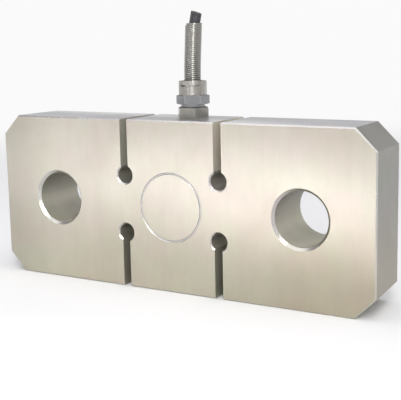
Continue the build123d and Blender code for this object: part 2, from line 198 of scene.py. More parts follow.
def split(add, vector):
    """Gives a vector's three parts."""
    return add("ShaderNodeSeparateXYZ", {0: vector}).outputs


def stretched(add, vector, factors):
    """Scales a place by its own factor on each axis, which draws out the pattern that reads it."""
    return add("ShaderNodeVectorMath", {0: vector, 1: factors}, operation="MULTIPLY").outputs[0]


def magnified(add, vector, factor):
    """Scales a place by one factor."""
    return add("ShaderNodeVectorMath", {0: vector, "Scale": factor}, operation="SCALE").outputs[0]


def noise(add, vector, scale, detail, **more):
    """Gives a cloudy pattern."""
    inputs = {"Vector": vector, "Scale": scale, "Detail": detail, **more}
    return add("ShaderNodeTexNoise", inputs).outputs["Fac"]


def bumped(add, height, strength, distance, under=None):
    """Gives the shading normal of a fine relief, laid over another one if there is one."""
    inputs = {"Height": height, "Strength": strength, "Distance": distance}
    if under is not None:
        inputs["Normal"] = under
    return add("ShaderNodeBump", inputs).outputs[0]


def tinted(add, factor, first, second, way="MIX"):
    """Mixes two colours by a factor."""
    mixer = add("ShaderNodeMix", {0: factor, 6: first, 7: second}, data_type="RGBA", blend_type=way)
    return mixer.outputs[2]


def toned(add, colour, tone):
    """Multiplies a colour by a grey value."""
    shade = add("ShaderNodeCombineColor", {0: tone, 1: tone, 2: tone})
    return tinted(add, 1.0, colour, shade.outputs[0], "MULTIPLY")


# Lines that a grinding wheel or a cutter leaves: fine scratches, and wider bands of them.
band_share, scratch_from, scratch_to, scratch_depth = 0.09, 0.62, 0.78, 0.6
tool_lines, add, given = new_group(
    "tool_lines",
    (("Vector", "NodeSocketVector", None), ("Fineness", "NodeSocketFloat", 3000.0)),
    (("Lines", "NodeSocketFloat"), ("Bands", "NodeSocketFloat"), ("Height", "NodeSocketFloat")),
)
calc, rise = calculator(add)
fine_place = magnified(add, given["Vector"], given["Fineness"])
lines = noise(add, fine_place, 1.0, 3.0, Roughness=0.7)
bands = noise(add, magnified(add, fine_place, band_share), 1.0, 4.0, Roughness=0.65)
height = layered(calc, lines, (rise(lines, scratch_from, scratch_to), -scratch_depth))
add("NodeGroupOutput", {"Lines": lines, "Bands": bands, "Height": height})

# Faint marks of handling: soft smears and a few short hairline scratches that cross the finish.
hairline_width, hairline_scale = 0.012, 1.3
handling, add, given = new_group(
    "handling_marks",
    (("Vector", "NodeSocketVector", None), ("Size", "NodeSocketFloat", 0.02)),
    (("Smears", "NodeSocketFloat"), ("Scratches", "NodeSocketFloat")),
)
calc, rise = calculator(add)
scaled_place = magnified(add, given["Vector"], calc("DIVIDE", 1.0, given["Size"]))
smears = noise(add, scaled_place, 1.0, 5.0, Roughness=0.6, Distortion=0.8)
cells = add("ShaderNodeTexVoronoi", {"Vector": scaled_place, "Scale": hairline_scale}, feature="DISTANCE_TO_EDGE")
hairline = outside(calc, rise(cells.outputs["Distance"], 0.0, hairline_width))
add("NodeGroupOutput", {
    "Smears": rise(smears, 0.4, 0.75),
    "Scratches": calc("MULTIPLY", hairline, rise(smears, 0.55, 0.7)),
})


def lined(add, vector, fineness):
    """Places tool lines on a piece."""
    return add("ShaderNodeGroup", {"Vector": vector, "Fineness": fineness}, node_tree=tool_lines).outputs


def handled(add, vector, size):
    """Places marks of handling on a piece."""
    return add("ShaderNodeGroup", {"Vector": vector, "Size": size}, node_tree=handling).outputs


def start_paint(name):
    """Starts a material and gives it with its node adder, shorthands, and a point's place and normal."""
    paint = bpy.data.materials.new(name)
    paint.use_nodes = True
    add = node_maker(paint.node_tree)
    calc, rise = calculator(add)
    where = add("ShaderNodeTexCoord").outputs
    return paint, add, calc, rise, where["Object"], where["Normal"]


def surface(add, sockets):
    """Ends a material with its shader."""
    shader = add("ShaderNodeBsdfPrincipled", sockets)
    add("ShaderNodeOutputMaterial", {"Surface": shader.outputs[0]})


bore_x, relief_x, relief_z, plate_middle = 0.0805, 0.0311, 0.0171, 0.050
bore_reach, relief_reach, slot_reach = 0.0172, 0.0060, 0.036
line_stretch = 45.0


def plate_finish(name, face_colour, edge_colour, end_colour_and_shade, bevel_colour, bore_colour):
    """Makes the plated steel's material: ground faces, milled edges, bright bevels, bored walls."""
    paint, add, calc, rise, place, normal = start_paint(name)
    at, facing = split(add, place), split(add, normal)
    across = calc("ABSOLUTE", facing["Y"])
    face = rise(across, 0.9, 0.97)
    bevel = calc("MULTIPLY", rise(across, 0.4, 0.55), outside(calc, rise(across, 0.8, 0.92)))

    # Bored walls lie close round the bores' and the reliefs' axes, and slot walls face sideways
    aside = calc("ABSOLUTE", at["X"])
    off = calc("ABSOLUTE", calc("SUBTRACT", at["Z"], plate_middle))
    spot = add("ShaderNodeCombineXYZ", {0: aside, 1: off}).outputs[0]
    from_bore = add("ShaderNodeVectorMath", {0: spot, 1: (bore_x, 0, 0)}, operation="DISTANCE")
    from_relief = add("ShaderNodeVectorMath", {0: spot, 1: (relief_x, relief_z, 0)}, operation="DISTANCE")
    not_face = calc("MULTIPLY", outside(calc, face), outside(calc, bevel))
    bored = calc("MULTIPLY", calc("LESS_THAN", from_bore.outputs["Value"], bore_reach), not_face)
    relief = calc("MULTIPLY", calc("LESS_THAN", from_relief.outputs["Value"], relief_reach), not_face)
    sideways = rise(calc("ABSOLUTE", facing["X"]), 0.6, 0.7)
    slot = calc("MULTIPLY", calc("MULTIPLY", sideways, not_face), calc("LESS_THAN", aside, slot_reach))
    slot = calc("MULTIPLY", slot, outside(calc, relief))
    wall = calc("MAXIMUM", bored, relief)

    # The tool's direction: along the height on faces and ends, lengthwise on the long edges
    lengthwise = rise(calc("ABSOLUTE", facing["Z"]), 0.6, 0.75)
    thin = 1.0 / line_stretch
    along_x = calc("SUBTRACT", 1.0, calc("MULTIPLY", calc("MAXIMUM", lengthwise, wall), 1.0 - thin))
    milled = calc("MULTIPLY", lengthwise, outside(calc, wall))
    along_z = calc("ADD", calc("MULTIPLY", milled, 1.0 - thin), thin)
    tool_way = add("ShaderNodeCombineXYZ", {
        0: calc("MULTIPLY", at["X"], along_x), 1: at["Y"], 2: calc("MULTIPLY", at["Z"], along_z),
    })
    lines = lined(add, tool_way.outputs[0], 2600.0)
    marks = handled(add, place, 0.03)
    clouds = noise(add, place, 26.0, 3.0, Distortion=0.6)
    mottle = noise(add, stretched(add, place, (1.0, 1.0, 0.4)), 110.0, 4.0, Roughness=0.6)
    bloom = noise(add, place, 48.0, 2.0, Distortion=0.4)

    # Each kind of surface has its own colour, under slow changes of tint
    # The ends' darker colour is partly their milled finish and partly painted shade
    colour = tinted(add, sideways, edge_colour, end_colour_and_shade)
    colour = tinted(add, face, colour, face_colour)
    colour = tinted(add, calc("MAXIMUM", wall, slot), colour, bore_colour)
    colour = tinted(add, bevel, colour, bevel_colour)
    cloud_tint = tinted(add, clouds, (1.0, 0.975, 0.945, 1), (0.965, 0.980, 1.0, 1))
    bloom_tint = tinted(add, rise(bloom, 0.35, 0.65), (1.0, 0.972, 0.975, 1), (0.975, 1.0, 0.965, 1))
    low_tint = tinted(add, rise(at["X"], 0.02, 0.10), (0.99, 0.99, 0.93, 1), (1.0, 0.968, 0.86, 1))
    level_tint = tinted(add, rise(at["Z"], 0.015, 0.065), low_tint, (1.0, 0.995, 1.0, 1))
    for tint in (cloud_tint, bloom_tint, level_tint):
        colour = tinted(add, 1.0, colour, tint, "MULTIPLY")

    # The lower slots are painted darker, as painted shade; one upper slot is lighter; each bore is painted
    # lighter along its floor and darker along its top, as painted light and shade
    low = outside(calc, rise(at["Z"], 0.035, 0.065))
    painted_low_slot_shade = calc("MULTIPLY", slot, low)
    lighter_upper_slot = calc("MULTIPLY", calc("MULTIPLY", slot, rise(at["X"], 0.0, 0.03)), outside(calc, low))
    # Painted light and shade: bore walls are lighter where they face up and darker where they face down
    painted_bore_light = calc("MULTIPLY", bored, facing["Z"])

    # The faces are painted darker at one end and at the opposite lower corner, as painted shade
    painted_face_shade = calc("MULTIPLY", outside(calc, rise(at["X"], -0.125, -0.075)), 0.18)
    corner = calc("MULTIPLY", rise(at["X"], 0.0, 0.08), outside(calc, rise(at["Z"], 0.012, 0.042)))
    painted_face_shade = calc("MULTIPLY", layered(calc, painted_face_shade, (corner, 0.13)), face)

    tone = calc("MULTIPLY", lines["Lines"], 0.08)
    tone = layered(calc, tone, (lines["Bands"], 0.08), (clouds, 0.22), (mottle, 0.14))
    tone = calc("ADD", tone, 0.74)
    # Painted shade: the faces grow steadily darker towards the end at positive X
    tone = calc("SUBTRACT", tone, calc("MULTIPLY", calc("MULTIPLY", at["X"], 0.38), face))
    tone = shaded(
        calc, tone, (painted_low_slot_shade, -0.28), (relief, -0.15), (painted_bore_light, 0.48), (bored, -0.07), (slot, 0.05),
        (lighter_upper_slot, 0.35), (painted_face_shade, -1.0),
    )
    surface(add, {
        "Base Color": toned(add, colour, tone),
        "Metallic": layered(calc, 1.0, (slot, -0.48), (wall, -0.35)),
        "Roughness": layered(
            calc, 0.27, (lines["Bands"], 0.08), (marks["Smears"], 0.06), (bevel, -0.06),
            (calc("ADD", wall, slot), 0.08),
        ),
        "Normal": bumped(add, marks["Scratches"], 0.2, 0.00003, bumped(add, lines["Height"], 0.1, 0.00003)),
        "Anisotropic": 0.7,
    })
    return paint


plated_steel = plate_finish(
    "nickel_plated_plate",
    (0.578, 0.544, 0.478, 1),
    (0.515, 0.514, 0.532, 1),
    (0.356, 0.348, 0.322, 1),
    (0.56, 0.55, 0.54, 1),
    (0.48, 0.465, 0.405, 1),
)


def dress(paint, *node_names):
    """Gives CAD nodes their material."""
    for node_name in node_names:
        slots = nodes[node_name].data.materials
        slots.clear()
        slots.append(paint)


dress(plated_steel, "body")

# Covers: turned steel discs pressed down on their seals, then ground flush with the plate's faces,
# so that the grinding lines run on over them. Only the fine groove round each stays bright.
cover_steel = plate_finish(
    "ground_cover",
    (0.590, 0.554, 0.492, 1),
    (0.50, 0.50, 0.50, 1),
    (0.38, 0.37, 0.34, 1),
    (0.42, 0.41, 0.39, 1),
    (0.50, 0.48, 0.43, 1),
)
dress(cover_steel, "front_cover", "rear_cover")

# Cover seals: rings of pale two-part sealant under the covers. It is squeezed flat, with small
# bubbles and a slightly uneven colour where the hardener mixed in.
bond, add, calc, rise, place, _ = start_paint("bond_ring")
bubbles = add("ShaderNodeTexVoronoi", {"Vector": place, "Scale": 1500.0})
swirl = noise(add, place, 260.0, 4.0, Distortion=1.2)
hollow = outside(calc, rise(bubbles.outputs["Distance"], 0.05, 0.3))
colour = tinted(add, swirl, (0.54, 0.51, 0.43, 1), (0.68, 0.65, 0.56, 1))
# Painted shade: the bubbles' pits are darker
colour = tinted(add, calc("MULTIPLY", hollow, 0.5), colour, (0.26, 0.24, 0.19, 1))
surface(add, {
    "Base Color": colour,
    "Roughness": layered(calc, 0.42, (swirl, 0.2)),
    "Normal": bumped(add, outside(calc, hollow), 0.35, 0.0001),
})
dress(bond, "front_cover_seal", "rear_cover_seal")

# Joint beads: the fine groove round each cover is filled with a pale bond that was wiped off while
# soft, so its top lies a little hollow between the two bevels.
plate_half, bead_steps, bead_start_radius, merge_reach = 0.019, 128, 0.0003, 0.00001
bead_profile = (
    (0.01938, 0.00026), (0.01950, 0.00034), (0.01966, 0.00038), (0.01984, 0.00037), (0.02003, 0.00033),
    (0.01985, 0.00056), (0.01962, 0.00064), (0.01948, 0.00046),
)
bead, add, calc, rise, place, _ = start_paint("pale_bond")
wiped = noise(add, place, 240.0, 4.0, Distortion=0.8)
dirt = rise(noise(add, place, 90.0, 3.0), 0.5, 0.75)
colour = tinted(add, wiped, (0.42, 0.41, 0.42, 1), (0.55, 0.54, 0.55, 1))
colour = tinted(add, calc("MULTIPLY", dirt, 0.25), colour, (0.30, 0.28, 0.25, 1))
surface(add, {
    "Base Color": colour,
    "Roughness": layered(calc, 0.22, (wiped, 0.15)),
    "Normal": bumped(add, wiped, 0.2, 0.0001),
})
for side, outward in (("front", -1), ("rear", 1)):
    bpy.ops.object.select_all(action="DESELECT")
    bpy.ops.mesh.primitive_circle_add(vertices=len(bead_profile), radius=bead_start_radius)
    joint_bead = bpy.context.object
    joint_bead.name = f"{side}_cover_bead"
    for vertex, (radius, depth) in zip(joint_bead.data.vertices, bead_profile):
        vertex.co = (radius, outward * (plate_half - depth), plate_middle)
    bpy.ops.object.mode_set(mode="EDIT")
    bpy.ops.mesh.select_all(action="SELECT")
    bpy.ops.mesh.spin(
        steps=bead_steps, angle=2 * math.pi, use_normal_flip=False, center=(0, 0, plate_middle), axis=(0, 1, 0),
    )
    bpy.ops.mesh.select_all(action="SELECT")
    bpy.ops.mesh.remove_doubles(threshold=merge_reach)
    bpy.ops.mesh.normals_make_consistent(inside=False)
    bpy.ops.object.mode_set(mode="OBJECT")
    bpy.ops.object.shade_smooth_by_angle(angle=math.radians(60))
    joint_bead.data.materials.append(bead)
    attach(joint_bead, "root")
    bpy.ops.object.select_all(action="DESELECT")

# Strain gauges: etched copper-nickel foil on amber polyimide carriers, bonded to the ground web with a
# hard-cured adhesive that leaves a glossy film.
foil_level, foil_step = 0.00416, 0.00002
gauge, add, calc, rise, place, _ = start_paint("foil_gauge")
foil = rise(calc("ABSOLUTE", split(add, place)["Y"]), foil_level, foil_level + foil_step)
rolling = lined(add, stretched(add, place, (1.0, 1.0, 0.08)), 9000.0)
flow = noise(add, place, 420.0, 3.0)
amber = tinted(add, flow, (0.42, 0.17, 0.022, 1), (0.62, 0.29, 0.05, 1))
copper_nickel = tinted(add, rolling["Lines"], (0.42, 0.33, 0.24, 1), (0.68, 0.57, 0.45, 1))
surface(add, {
    "Base Color": tinted(add, foil, amber, copper_nickel),
    "Metallic": foil,
    "Roughness": layered(calc, 0.22, (rolling["Bands"], 0.15)),
    "Normal": bumped(add, flow, 0.1, 0.0001),
    "Coat Weight": 0.35,
})
dress(gauge, *(name for name in nodes if name.endswith("_gauge")))

# Gauge leads and link wires: fine copper wires with a baked enamel that is clear and reddish brown.
# Their ends are scraped and soldered to the gauges' tabs and to the pads.
enamel, add, calc, rise, place, _ = start_paint("enamelled_copper")
drawn = noise(add, place, 1800.0, 4.0)
copper = tinted(add, noise(add, place, 160.0, 2.0), (0.42, 0.12, 0.04, 1), (0.66, 0.25, 0.10, 1))
surface(add, {
    "Base Color": toned(add, copper, layered(calc, 0.8, (drawn, 0.35))),
    "Metallic": 0.85,
    "Roughness": layered(calc, 0.24, (drawn, 0.16)),
    "Coat Weight": 0.5,
})
dress(enamel, "front_gauge_leads", "rear_gauge_leads", "link_wires")

# Terminal strip and bridge board: glass-cloth laminate under green solder resist, with tinned pads
# and copper tracks that show through it.
strip_pad_level, board_pad_level, pad_pitch = 0.00452, 0.00582, 0.0044
weave_scale, track_half = 420.0, 0.09
board, add, calc, rise, place, normal = start_paint("circuit_board")
at = split(add, place)
strip_pad = calc("LESS_THAN", at["Y"], -strip_pad_level)
pad = calc("MAXIMUM", strip_pad, calc("GREATER_THAN", at["Y"], board_pad_level))
flat = rise(calc("ABSOLUTE", split(add, normal)["Y"]), 0.7, 0.9)
warp, weft = (
    add("ShaderNodeTexWave", {"Vector": place, "Scale": weave_scale}, bands_direction=way).outputs["Fac"]
    for way in "XZ"
)
weave = calc("MULTIPLY", warp, weft)
track = calc("ABSOLUTE", calc("SUBTRACT", calc("FRACT", calc("DIVIDE", at["X"], pad_pitch)), 0.5))
track = calc("MULTIPLY", calc("LESS_THAN", track, track_half), flat)
resist = tinted(add, weave, (0.008, 0.10, 0.035, 1), (0.014, 0.15, 0.055, 1))
resist = tinted(add, track, resist, (0.03, 0.24, 0.07, 1))
laminate = tinted(add, warp, (0.34, 0.30, 0.12, 1), (0.48, 0.44, 0.22, 1))
tin_grain = noise(add, place, 2400.0, 3.0)
tin = tinted(add, tin_grain, (0.50, 0.50, 0.50, 1), (0.74, 0.74, 0.73, 1))
cloth_height = calc("ADD", calc("MULTIPLY", weave, 0.3), calc("MULTIPLY", track, 0.7))
surface(add, {
    "Base Color": tinted(add, pad, tinted(add, flat, laminate, resist), tin),
    "Metallic": calc("MULTIPLY", pad, 0.95),
    "Roughness": layered(calc, 0.26, (tin_grain, 0.18)),
    "Normal": bumped(add, cloth_height, 0.3, 0.00005),
    "Coat Weight": 0.2,
})
dress(board, "terminal_strip", "bridge_board")

# Board tape: white closed-cell foam with its adhesive, cut a little smaller than the board.
foam, add, calc, rise, place, _ = start_paint("foam_tape")
cells = add("ShaderNodeTexVoronoi", {"Vector": place, "Scale": 4200.0}).outputs["Distance"]
colour = tinted(add, noise(add, place, 500.0, 3.0), (0.66, 0.65, 0.60, 1), (0.80, 0.79, 0.75, 1))
# Painted shade: each cell is darker towards its middle, where its pit is deepest
surface(add, {
    "Base Color": toned(add, colour, layered(calc, 0.72, (cells, 0.5))),
    "Roughness": 0.85,
    "Normal": bumped(add, cells, 0.6, 0.00012),
    "Subsurface Weight": 0.1,
})
dress(foam, "board_tape")

# Trimming resistors: black glazed chips with a pale ceramic edge and tinned ends, soldered in a row
# on the bridge board at the pads' pitch.
chip_half, cap_width, glaze_level = 0.0012, 0.00042, 0.00625
chip, add, calc, rise, place, _ = start_paint("chip_resistor")
at = split(add, place)
nearest = calc("MULTIPLY", calc("ROUND", calc("DIVIDE", at["X"], pad_pitch)), pad_pitch)
from_middle = calc("ABSOLUTE", calc("SUBTRACT", at["X"], nearest))
cap = calc("GREATER_THAN", from_middle, chip_half - cap_width)
glaze = calc("GREATER_THAN", at["Y"], glaze_level)
grain = noise(add, place, 2600.0, 4.0)
ceramic = tinted(add, grain, (0.62, 0.61, 0.58, 1), (0.78, 0.77, 0.74, 1))
black_glaze = tinted(add, grain, (0.012, 0.012, 0.014, 1), (0.03, 0.03, 0.034, 1))
cap_tin = tinted(add, grain, (0.5, 0.5, 0.5, 1), (0.72, 0.72, 0.71, 1))
surface(add, {
    "Base Color": tinted(add, cap, tinted(add, glaze, ceramic, black_glaze), cap_tin),
    "Metallic": calc("MULTIPLY", cap, 0.9),
    "Roughness": layered(calc, 0.25, (grain, 0.2)),
    "Normal": bumped(add, grain, 0.2, 0.00004),
})
dress(chip, "trim_resistors")

# Crossing sleeve: a length of white insulating tube that lines the hole through the web. Extrusion
# left faint lines along it.
sleeve, add, calc, rise, place, _ = start_paint("insulating_sleeve")
lines = lined(add, stretched(add, place, (1.0, 0.06, 1.0)), 5000.0)
surface(add, {
    "Base Color": tinted(add, lines["Bands"], (0.72, 0.72, 0.69, 1), (0.85, 0.85, 0.83, 1)),
    "Roughness": layered(calc, 0.3, (lines["Lines"], 0.15)),
    "Normal": bumped(add, lines["Height"], 0.15, 0.00003),
})
dress(sleeve, "crossing_sleeve")


# Cores: four stranded conductors, each in coloured insulation that was extruded over it and still
# bears the faint lengthwise lines and waxy bloom of that. Cropping smeared the jacket over their ends.
cut_tilt = math.radians(20)
cut_normal = (math.sin(cut_tilt), 0, math.cos(cut_tilt))
cut_start, cut_reach = 0.1519, 0.1522


def insulation(name, colour):
    """Makes the soft plastic of a core in one colour."""
    paint, add, calc, rise, place, _ = start_paint(name)
    lines = lined(add, stretched(add, place, (1.0, 1.0, 0.05)), 4000.0)
    bloom = noise(add, place, 320.0, 4.0)
    plastic = toned(add, (*colour, 1), layered(calc, 0.8, (lines["Bands"], 0.3)))
    waxy = calc("MULTIPLY", rise(bloom, 0.5, 0.75), 0.08)
    plastic = tinted(add, waxy, plastic, (0.7, 0.7, 0.7, 1))
    up_to_cut = add("ShaderNodeVectorMath", {0: place, 1: cut_normal}, operation="DOT_PRODUCT")
    cropped = calc("MULTIPLY", rise(up_to_cut.outputs["Value"], cut_start, cut_reach), 0.85)
    surface(add, {
        "Base Color": tinted(add, cropped, plastic, (0.03, 0.03, 0.032, 1)),
        "Roughness": layered(calc, 0.34, (bloom, 0.2)),
        "Normal": bumped(add, lines["Height"], 0.12, 0.00003),
    })
    return paint


for core_colour, plastic in (
    ("red", (0.50, 0.025, 0.02)),
    ("black", (0.02, 0.02, 0.022)),
    ("green", (0.03, 0.27, 0.07)),
    ("white", (0.72, 0.71, 0.67)),
):
    dress(insulation(f"core_{core_colour}_plastic", plastic), f"core_{core_colour}")

# Conductors: bunches of fine tinned copper strands, bare where they are soldered to the board and
# cropped with the cable at its upper end, where the strands' ends show.
conductor, add, calc, rise, place, _ = start_paint("tinned_strands")
strands = add("ShaderNodeTexVoronoi", {"Vector": stretched(add, place, (1.0, 1.0, 0.03)), "Scale": 5200.0})
between = rise(strands.outputs["Distance"], 0.3, 0.6)
dull = noise(add, place, 900.0, 3.0)
tinning = tinted(add, dull, (0.50, 0.48, 0.45, 1), (0.78, 0.77, 0.74, 1))
# Painted shade: the gaps between the strands are dark
tinning = tinted(add, calc("MULTIPLY", between, 0.7), tinning, (0.16, 0.10, 0.07, 1))
surface(add, {
    "Base Color": tinning,
    "Metallic": 1.0,
    "Roughness": layered(calc, 0.24, (dull, 0.2)),
    "Normal": bumped(add, outside(calc, between), 0.6, 0.00006),
})
dress(conductor, "core_conductors")

# Shield: tinned copper braid laid round the cores. The cable stands on the gland's axis, so the
# same unrolled coordinates serve the braid and everything that is turned about that axis.
gland_y, ring_wander = 0.009, 0.02
around, add, given = new_group(
    "around_gland_axis",
    (("Vector", "NodeSocketVector", None),),
    (
        ("Ring", "NodeSocketVector"), ("Turn", "NodeSocketFloat"), ("Radius", "NodeSocketFloat"),
        ("Level", "NodeSocketFloat"),
    ),
)
calc, rise = calculator(add)
at = split(add, given["Vector"])
depth = calc("SUBTRACT", at["Y"], gland_y)
spot = add("ShaderNodeCombineXYZ", {0: at["X"], 1: depth})
radius = add("ShaderNodeVectorMath", {0: spot.outputs[0]}, operation="LENGTH").outputs["Value"]
turn = calc("DIVIDE", calc("ARCTAN2", depth, at["X"]), 2 * math.pi)
ring = add("ShaderNodeCombineXYZ", {0: radius, 1: calc("MULTIPLY", at["X"], ring_wander), 2: at["Z"]})
add("NodeGroupOutput", {"Ring": ring.outputs[0], "Turn": turn, "Radius": radius, "Level": at["Z"]})


def about_gland(add, vector):
    """Gives a place's unrolled coordinates about the gland's axis."""
    return add("ShaderNodeGroup", {"Vector": vector}, node_tree=around).outputs


carriers, braid_lay = 12.0, 0.0075
braid, add, calc, rise, place, _ = start_paint("copper_braid")
axis = about_gland(add, place)
wound = calc("MULTIPLY", axis["Turn"], carriers)
climb = calc("MULTIPLY", axis["Level"], carriers / braid_lay)
right_hand, left_hand = (
    calc("ABSOLUTE", calc("SUBTRACT", calc("FRACT", calc(lay, wound, climb)), 0.5)) for lay in ("ADD", "SUBTRACT")
)
over = calc("MAXIMUM", rise(right_hand, 0.05, 0.3), rise(left_hand, 0.05, 0.3))
wires = noise(add, place, 3000.0, 3.0)
colour = tinted(add, wires, (0.44, 0.42, 0.39, 1), (0.72, 0.70, 0.66, 1))
# Painted shade: the gaps between the carriers are dark
surface(add, {
    "Base Color": tinted(add, outside(calc, over), colour, (0.10, 0.08, 0.065, 1)),
    "Metallic": 0.95,
    "Roughness": layered(calc, 0.28, (wires, 0.2)),
    "Normal": bumped(add, over, 0.7, 0.00012),
})
dress(braid, "cable_shield")

# Jacket: black polyurethane, extruded with a satin skin. Above the spring it is cropped on a slant,
# and the cut face shows the blade's drag.
jacket, add, calc, rise, place, normal = start_paint("black_jacket")
facing = add("ShaderNodeVectorMath", {0: normal, 1: cut_normal}, operation="DOT_PRODUCT")
cut_face = rise(facing.outputs["Value"], 0.9, 0.97)
skin = lined(add, stretched(add, place, (1.0, 1.0, 0.12)), 3200.0)
drag = lined(add, stretched(add, place, (0.1, 1.0, 0.1)), 5200.0)
smears = handled(add, place, 0.004)["Smears"]
black = tinted(add, skin["Bands"], (0.022, 0.022, 0.027, 1), (0.040, 0.040, 0.047, 1))
black = tinted(add, calc("MULTIPLY", smears, 0.12), black, (0.20, 0.20, 0.21, 1))
black = tinted(add, calc("MULTIPLY", cut_face, drag["Lines"]), black, (0.09, 0.09, 0.10, 1))
grooves = calc("ADD", calc("MULTIPLY", skin["Height"], 0.4), calc("MULTIPLY", cut_face, drag["Height"]))
surface(add, {
    "Base Color": black,
    "Roughness": layered(calc, 0.4, (smears, 0.15), (cut_face, 0.2)),
    "Normal": bumped(add, grooves, 0.3, 0.00005),
})
dress(jacket, "cable_jacket")


# Gland: entry adaptor, gland body and dome nut, turned from drawn hexagon brass and nickel plated.
# Their flats keep the bar's drawn lines, their crowns and threads the lathe's rings.
thread_pitch, thread_fade, wear_width = 0.0015, 0.0003, 0.0007
adaptor_threads = ((0.0905, 0.0999),)
body_threads = ((0.1010, 0.1062), (0.1128, 0.1170))


def gland_finish(
    name, colour, corner_radius, threads=(), smooth=0.15, matt_crown=0.0, painted_crown_light=0.0, crowning=10.0,
    upright=0.0,
):
    """Makes the nickel of one gland piece: drawn flats, turned crowns, threads, worn corners."""
    paint, add, calc, rise, place, normal = start_paint(name)
    axis, at, facing = about_gland(add, place), split(add, place), split(add, normal)
    flat = outside(calc, rise(calc("ABSOLUTE", facing["Z"]), 0.02, 0.12))
    crown = outside(calc, flat)
    drawn = lined(add, stretched(add, place, (1.0, 1.0, 0.04)), 3600.0)
    turned = lined(add, axis["Ring"], 4200.0)
    marks = handled(add, place, 0.006)
    bands, fine = (
        calc("ADD", calc("MULTIPLY", flat, drawn[part]), calc("MULTIPLY", crown, turned[part]))
        for part in ("Bands", "Height")
    )
    worn = calc("MULTIPLY", rise(axis["Radius"], corner_radius - wear_width, corner_radius), 0.8)

    # One groove per turn along each thread
    thread = 0.0
    for low, high in threads:
        above_foot = rise(axis["Level"], low, low + thread_fade)
        zone = calc("MULTIPLY", above_foot, outside(calc, rise(axis["Level"], high - thread_fade, high)))
        thread = calc("MAXIMUM", thread, zone)
    advance = calc("SUBTRACT", calc("DIVIDE", axis["Level"], thread_pitch), axis["Turn"])
    # The groove also darkens each thread's root in the tone below, as painted shade
    groove = calc("MULTIPLY", calc("ABSOLUTE", calc("SUBTRACT", calc("FRACT", advance), 0.5)), 2.0)
    ridge = calc("MULTIPLY", thread, outside(calc, groove))

    # Polishing has left each flat slightly crowned from corner to corner
    sideways = calc("MULTIPLY", calc("SUBTRACT", at["Y"], gland_y), facing["X"])
    sideways = calc("SUBTRACT", sideways, calc("MULTIPLY", at["X"], facing["Y"]))
    sideways = calc("MULTIPLY", sideways, crowning)
    bowed = add("ShaderNodeCombineXYZ", {
        0: calc("SUBTRACT", facing["X"], calc("MULTIPLY", sideways, facing["Y"])),
        1: calc("ADD", facing["Y"], calc("MULTIPLY", sideways, facing["X"])),
        2: facing["Z"],
    })
    bowed = add("ShaderNodeVectorMath", {0: bowed.outputs[0]}, operation="NORMALIZE").outputs[0]
    relief = bumped(add, ridge, 1.0, 0.0005, bowed)
    relief = bumped(add, fine, 0.1, 0.00003, relief)
    relief = bumped(add, marks["Scratches"], 0.3, 0.00003, relief)

    tone = layered(calc, 0.84, (bands, 0.18), (worn, 0.12), (marks["Smears"], -0.06))
    # Painted light: each crown is lightened by its given share
    tone = shaded(calc, tone, (calc("MULTIPLY", thread, groove), -0.45), (crown, painted_crown_light))
    surface(add, {
        "Base Color": toned(add, (*colour, 1), tone),
        "Metallic": 1.0,
        "Roughness": layered(
            calc, smooth, (bands, 0.08), (marks["Smears"], 0.08), (worn, 0.08), (crown, matt_crown),
        ),
        "Normal": relief,
        "Anisotropic": upright,
        "Anisotropic Rotation": 0.25,
    })
    return paint


adaptor_nickel = gland_finish("adaptor_nickel", (0.35, 0.34, 0.305), 0.0097, adaptor_threads, matt_crown=0.4)
body_nickel = gland_finish(
    "body_nickel", (0.29, 0.295, 0.30), 0.0098, body_threads, smooth=0.17, matt_crown=0.05, painted_crown_light=0.55,
)
nut_nickel = gland_finish("nut_nickel", (0.40, 0.38, 0.355), 0.0083, smooth=0.18, crowning=60.0, upright=0.88)
dress(adaptor_nickel, "entry_adaptor")
dress(body_nickel, "gland_body")
dress(nut_nickel, "dome_nut")

# Rubber parts: the ring under the adaptor and the insert that the nut squeezes onto the cable. Both
# are moulded nitrile rubber, black, with a faint bloom and the mould's parting line.
rubber, add, calc, rise, place, _ = start_paint("moulded_rubber")
bloom = noise(add, place, 380.0, 5.0, Roughness=0.65)
pebble = noise(add, place, 3000.0, 2.0)
seam = calc("ABSOLUTE", about_gland(add, place)["Turn"])
seam = calc("MULTIPLY", outside(calc, rise(seam, 0.0, 0.002)), 0.6)
surface(add, {
    "Base Color": tinted(add, rise(bloom, 0.45, 0.7), (0.018, 0.018, 0.019, 1), (0.055, 0.055, 0.054, 1)),
    "Roughness": layered(calc, 0.5, (bloom, 0.25)),
    "Normal": bumped(add, calc("ADD", calc("MULTIPLY", pebble, 0.3), seam), 0.35, 0.0001),
})
dress(rubber, "entry_o_ring", "sealing_insert")

# Slip ring: natural nylon washer, turned, that lets the nut turn without twisting the rubber.
nylon, add, calc, rise, place, _ = start_paint("natural_nylon")
rings = lined(add, about_gland(add, place)["Ring"], 5000.0)
surface(add, {
    "Base Color": tinted(add, rings["Bands"], (0.62, 0.59, 0.50, 1), (0.76, 0.74, 0.66, 1)),
    "Roughness": layered(calc, 0.38, (rings["Lines"], 0.14)),
    "Normal": bumped(add, rings["Height"], 0.2, 0.00004),
    "Subsurface Weight": 0.15,
})
dress(nylon, "slip_ring")

# Strain relief spring: close-wound stainless wire. Drawing leaves fine lines along the wire, each
# turn catches the light a little differently, and painted shade darkens the wire between the turns.
# Higher up the turns are burnished flat against each other, so they read as one surface.
turns_per_metre, burnish_start, burnish_end = 850.0, 0.126, 0.142
spring, add, calc, rise, place, normal = start_paint("spring_wire")
axis = about_gland(add, place)
lines = lined(add, axis["Ring"], 5200.0)
marks = handled(add, place, 0.005)
per_turn = add(
    "ShaderNodeTexNoise",
    {"W": calc("MULTIPLY", axis["Level"], turns_per_metre), "Scale": 1.0, "Detail": 1.0},
    noise_dimensions="1D",
).outputs["Fac"]
